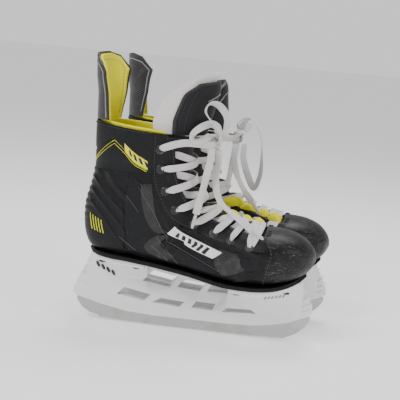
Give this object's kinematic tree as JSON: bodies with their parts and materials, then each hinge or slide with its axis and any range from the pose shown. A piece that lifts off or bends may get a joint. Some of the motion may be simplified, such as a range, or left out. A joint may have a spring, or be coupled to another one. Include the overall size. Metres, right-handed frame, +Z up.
{
  "type": "pair of ice skates",
  "caption": "Two lace-up skates with moulded boots, flexing rear guards, padded tongues, removable steel blades in plastic holders and tied white laces.",
  "frame": {"origin": "on the ice, at the centre of the pair's outline box, measured without the free lace ends", "axes": "+X towards the toes, +Y towards the left skate, +Z up"},
  "size_m": [0.2572, 0.1834, 0.2693],
  "materials": {
    "holder": "gloss white moulded plastic",
    "blade": "polished steel",
    "hardware": "satin dark metal",
    "outsole": "satin black",
    "board": "fibre board",
    "footbed": "foam with fabric top",
    "cap": "scuffed black",
    "upper": "satin black synthetic",
    "facing": "black synthetic leather",
    "liner": "black microfibre",
    "lining": "bright yellow fabric",
    "guard": "black woven-pattern composite",
    "tongue": "dark padded fabric",
    "felt": "white felt",
    "badge": "printed film",
    "lace": "flat white woven lace",
    "aglet": "clear plastic"
  },
  "bodies": {
    "right_skate": {"right_holder": "holder", "right_blade_bolts": "hardware", "right_blade_nuts": "hardware", "right_holder_rivets": "hardware", "right_outsole": "outsole", "right_insole_board": "board", "right_footbed": "footbed", "right_toe_cap": "cap", "right_heel_counter": "upper", "right_lateral_quarter": "upper", "right_medial_quarter": "upper", "right_ankle_cuff": "upper", "right_lateral_facing": "facing", "right_medial_facing": "facing", "right_eyelets": "hardware", "right_liner": "liner", "right_collar_lining": "lining", "right_tongue_body": "tongue", "right_badges": "badge", "right_lace": "lace", "right_lace_tail_a": "lace", "right_lace_tail_b": "lace", "right_aglets": "aglet"},
    "right_blade": {"right_blade": "blade"},
    "right_guard": {"right_tendon_guard": "guard", "right_guard_lining": "lining"},
    "right_tongue": {"right_tongue_top": "tongue", "right_tongue_felt": "felt", "right_lace_loop_a": "lace", "right_lace_loop_b": "lace"},
    "left_skate": {"left_holder": "holder", "left_blade_bolts": "hardware", "left_blade_nuts": "hardware", "left_holder_rivets": "hardware", "left_outsole": "outsole", "left_insole_board": "board", "left_footbed": "footbed", "left_toe_cap": "cap", "left_heel_counter": "upper", "left_lateral_quarter": "upper", "left_medial_quarter": "upper", "left_ankle_cuff": "upper", "left_lateral_facing": "facing", "left_medial_facing": "facing", "left_eyelets": "hardware", "left_liner": "liner", "left_collar_lining": "lining", "left_tongue_body": "tongue", "left_badges": "badge", "left_lace": "lace", "left_lace_tail_a": "lace", "left_lace_tail_b": "lace", "left_aglets": "aglet", "left_lace_loop_a": "lace", "left_lace_loop_b": "lace"},
    "left_blade": {"left_blade": "blade"},
    "left_guard": {"left_tendon_guard": "guard", "left_guard_lining": "lining"},
    "left_tongue": {"left_tongue_top": "tongue", "left_tongue_felt": "felt"}
  },
  "joints": [
    {"name": "left_skate_lift", "type": "slide", "parent": "right_skate", "child": "left_skate", "axis": [0, 0, 1], "range_m": [0, 0.3]},
    {"name": "right_blade_release", "type": "slide", "parent": "right_skate", "child": "right_blade", "axis": [0, 0, -1], "range_m": [0, 0.025]},
    {"name": "right_guard_flex", "type": "hinge", "parent": "right_skate", "child": "right_guard", "pos_m": [-0.1184, -0.0475, 0.2036], "axis": [0, -1, 0], "range_deg": [0, 15], "stiffness_Nm_per_rad": 1.2},
    {"name": "right_tongue_flex", "type": "hinge", "parent": "right_skate", "child": "right_tongue", "pos_m": [-0.0074, -0.0475, 0.194], "axis": [0, 1, 0], "range_deg": [0, 8], "stiffness_Nm_per_rad": 0.8},
    {"name": "left_blade_release", "type": "slide", "parent": "left_skate", "child": "left_blade", "axis": [0, 0, -1], "range_m": [0, 0.025]},
    {"name": "left_guard_flex", "type": "hinge", "parent": "left_skate", "child": "left_guard", "pos_m": [-0.1034, 0.0475, 0.2036], "axis": [0, -1, 0], "range_deg": [0, 15], "stiffness_Nm_per_rad": 1.2},
    {"name": "left_tongue_flex", "type": "hinge", "parent": "left_skate", "child": "left_tongue", "pos_m": [0.0076, 0.0475, 0.194], "axis": [0, 1, 0], "range_deg": [0, 8], "stiffness_Nm_per_rad": 0.8}
  ]
}
